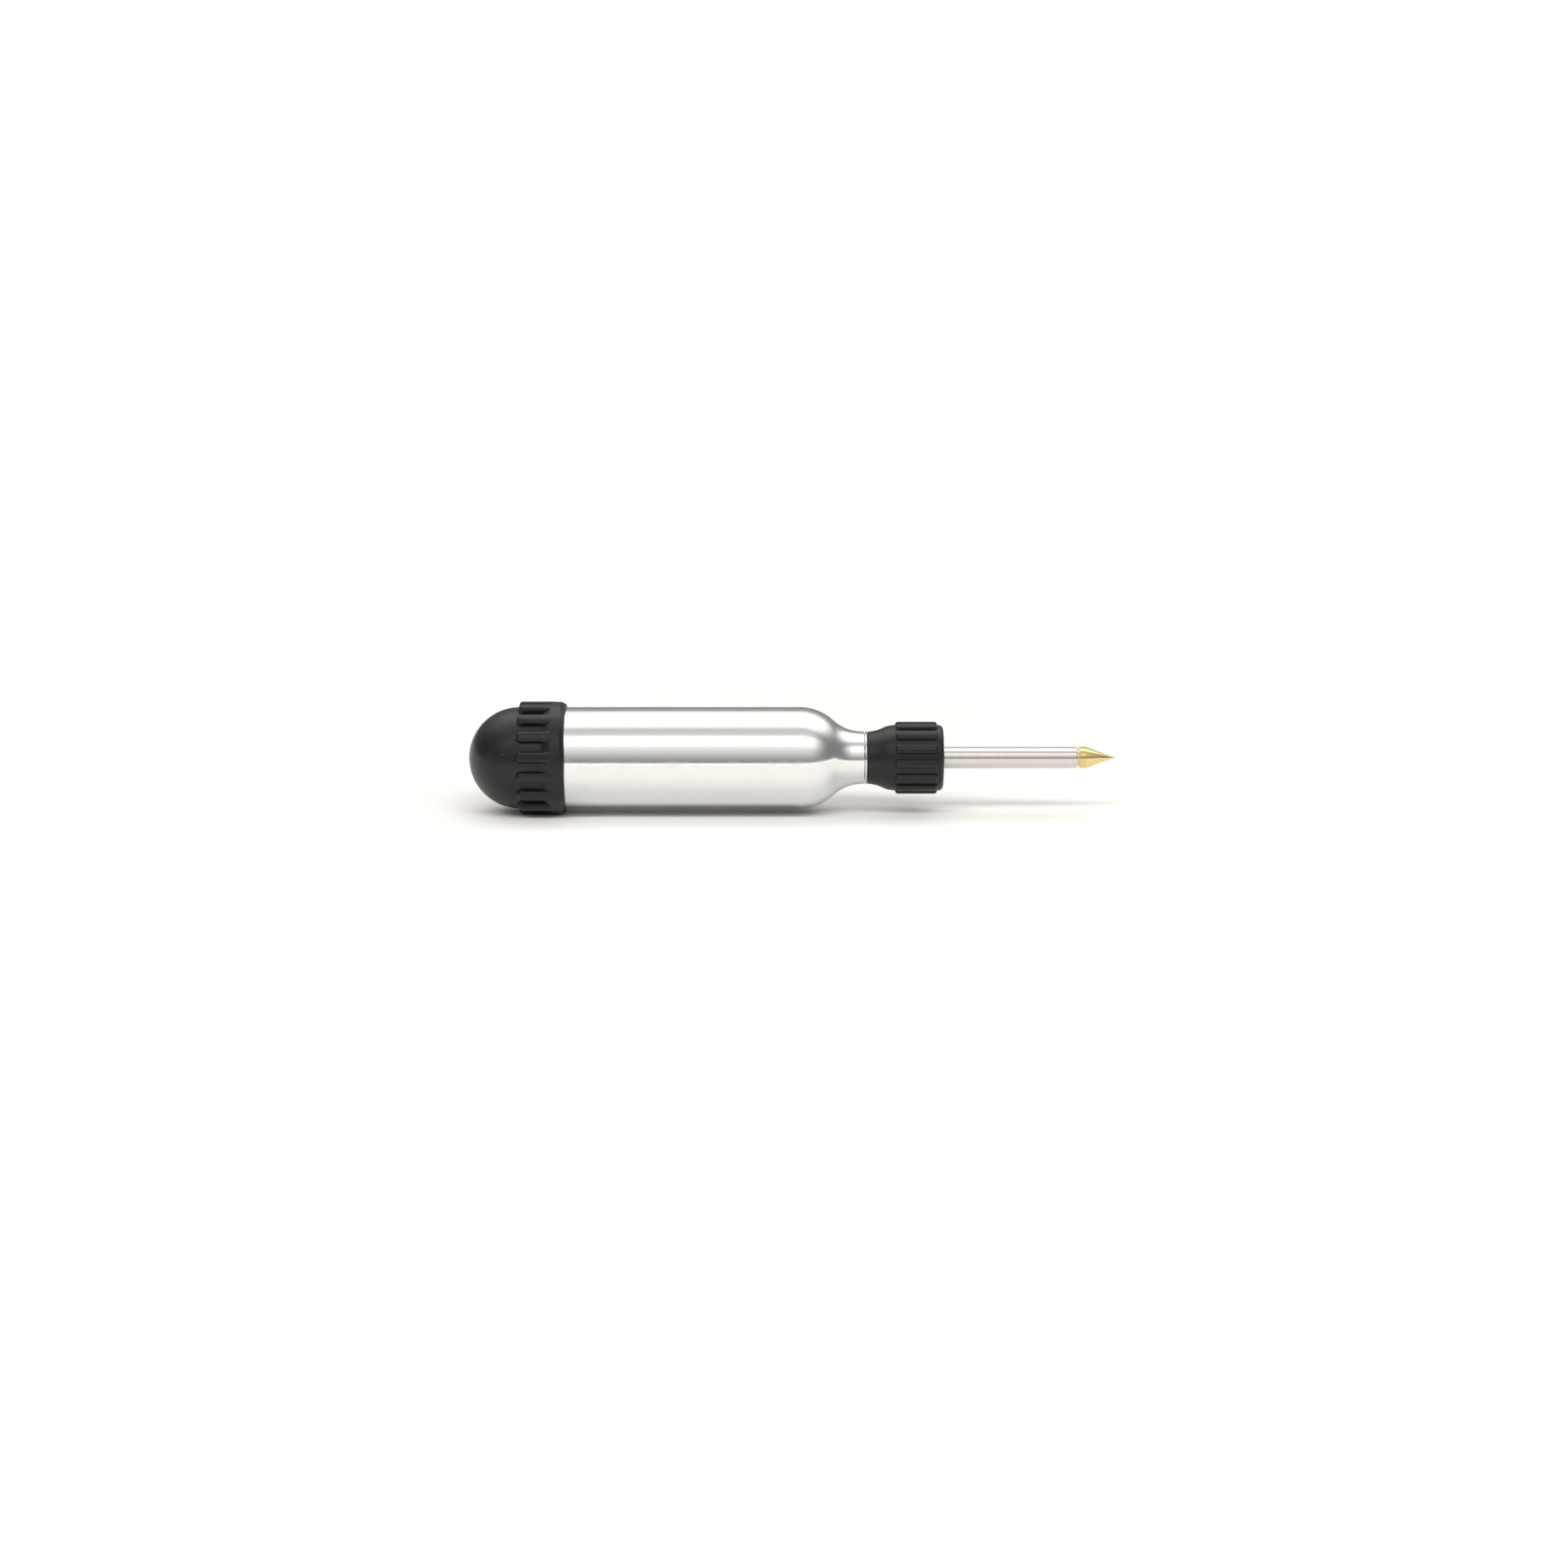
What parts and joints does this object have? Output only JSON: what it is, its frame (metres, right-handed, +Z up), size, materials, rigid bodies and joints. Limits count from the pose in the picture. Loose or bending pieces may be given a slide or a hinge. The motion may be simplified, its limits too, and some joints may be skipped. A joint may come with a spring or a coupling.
{
  "type": "tyre plug insertion tool",
  "caption": "Handheld tool with a hollow metal handle, a ribbed rubber cap and a screw-in collar with a tube that pushes a pointed plug into a punctured tyre.",
  "frame": {"origin": "on the surface the tool lies on, below the middle of its length and its axis", "axes": "+X along the tool's axis towards its point, +Z up, +Y to the left when looking along +X"},
  "size_m": [0.1612, 0.028, 0.028],
  "materials": {
    "black_rubber": "moulded, soft satin, fine grain",
    "brushed_aluminium": "turned and polished, fine lines round the axis",
    "polished_steel": "polished",
    "stainless_steel": "drawn, smooth",
    "brass": "turned, bright, fine tool marks",
    "tarred_cord": "twisted fibre in sticky rubber",
    "seal_rubber": "moulded, smooth",
    "brush_fibre": "soft pile"
  },
  "bodies": {
    "handle": {"handle_shell": "brushed_aluminium", "spare_1_tip": "brass", "spare_1_cord": "tarred_cord", "spare_2_tip": "brass", "spare_2_cord": "tarred_cord", "spare_3_tip": "brass", "spare_3_cord": "tarred_cord", "brush_pile": "brush_fibre", "brush_wire": "stainless_steel"},
    "cap": {"end_cap": "black_rubber"},
    "screw_carriage": {"thrust_washer": "polished_steel", "neck_seal": "seal_rubber"},
    "head": {"grip_collar": "black_rubber", "tube_carrier": "brushed_aluminium", "retaining_screw": "stainless_steel", "tube_ferrule": "brass", "insertion_tube": "stainless_steel"},
    "plug": {"plug_tip": "brass", "plug_cord": "tarred_cord"}
  },
  "joints": [
    {"name": "cap_pull", "type": "slide", "parent": "handle", "child": "cap", "axis": [-1, 0, 0], "range_m": [0, 0.03]},
    {"name": "head_travel", "type": "slide", "parent": "handle", "child": "screw_carriage", "axis": [1, 0, 0], "range_m": [0, 0.0076]},
    {"name": "head_screw", "type": "hinge", "parent": "screw_carriage", "child": "head", "pos_m": [0.0184, 0, 0.01398], "axis": [1, 0, 0], "range_deg": [0, 1800]},
    {"name": "plug_release", "type": "slide", "parent": "head", "child": "plug", "axis": [1, 0, 0], "range_m": [0, 0.034]}
  ],
  "couplings": [
    {"joint": "head_travel", "follows": "head_screw", "m_per_rad": 0.00023873}
  ]
}
